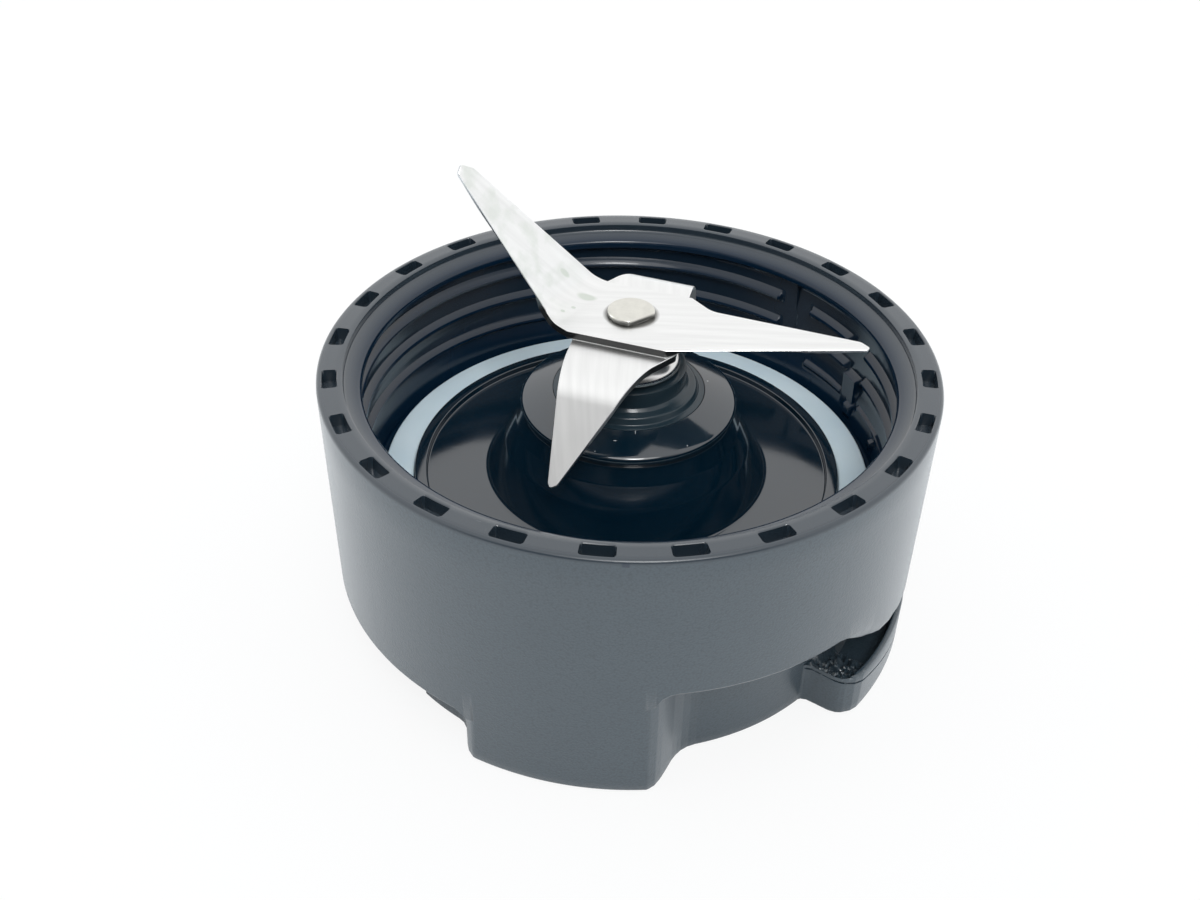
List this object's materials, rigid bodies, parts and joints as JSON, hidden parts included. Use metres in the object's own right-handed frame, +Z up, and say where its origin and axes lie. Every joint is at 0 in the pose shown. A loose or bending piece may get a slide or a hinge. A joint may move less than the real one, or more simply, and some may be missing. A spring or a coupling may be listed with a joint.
{
  "type": "blender blade assembly",
  "caption": "Screw-on blender base collar with a sealed bearing hub, a jar gasket and crossed steel blades on a vertical spindle driven by a toothed coupling below.",
  "frame": {"origin": "centre of the base, on the surface the feet stand on", "axes": "+Z up along the spindle, -Y towards the front foot seen in the picture, +X to its right"},
  "size_m": [0.094, 0.094, 0.0754],
  "materials": {
    "collar_plastic": "fine moulded texture, black",
    "hub_plastic": "polished moulding, black",
    "silicone": "pale blue-grey, satin",
    "seal_rubber": "black, satin",
    "blade_steel": "satin stainless",
    "cap_steel": "polished stainless",
    "shaft_steel": "turned stainless",
    "bearing_steel": "ground bearing steel",
    "spring_steel": "dark spring steel",
    "screw_steel": "zinc plated",
    "spacer_aluminium": "turned",
    "insert_steel": "turned",
    "coupling_plastic": "satin, black"
  },
  "bodies": {
    "base": {"threaded_collar": "collar_plastic", "hub_plate": "hub_plastic", "jar_gasket": "silicone", "hub_screws": "screw_steel", "shaft_seal": "seal_rubber", "upper_bearing_outer_race": "bearing_steel", "upper_bearing_balls": "bearing_steel", "bearing_spacer": "spacer_aluminium", "lower_bearing_outer_race": "bearing_steel", "lower_bearing_balls": "bearing_steel", "bearing_circlip": "spring_steel"},
    "rotor": {"drive_shaft": "shaft_steel", "upper_blade": "blade_steel", "lower_blade": "blade_steel", "dome_cap": "cap_steel", "seal_sleeve": "shaft_steel", "upper_bearing_inner_race": "bearing_steel", "shaft_sleeve": "spacer_aluminium", "lower_bearing_inner_race": "bearing_steel", "shaft_clip": "spring_steel", "coupling_washer": "screw_steel", "coupling_insert": "insert_steel", "drive_coupling": "coupling_plastic"}
  },
  "joints": [
    {"name": "blade_spin", "type": "hinge", "parent": "base", "child": "rotor", "pos_m": [0, 0, 0.0487], "axis": [0, 0, 1], "continuous": true}
  ]
}
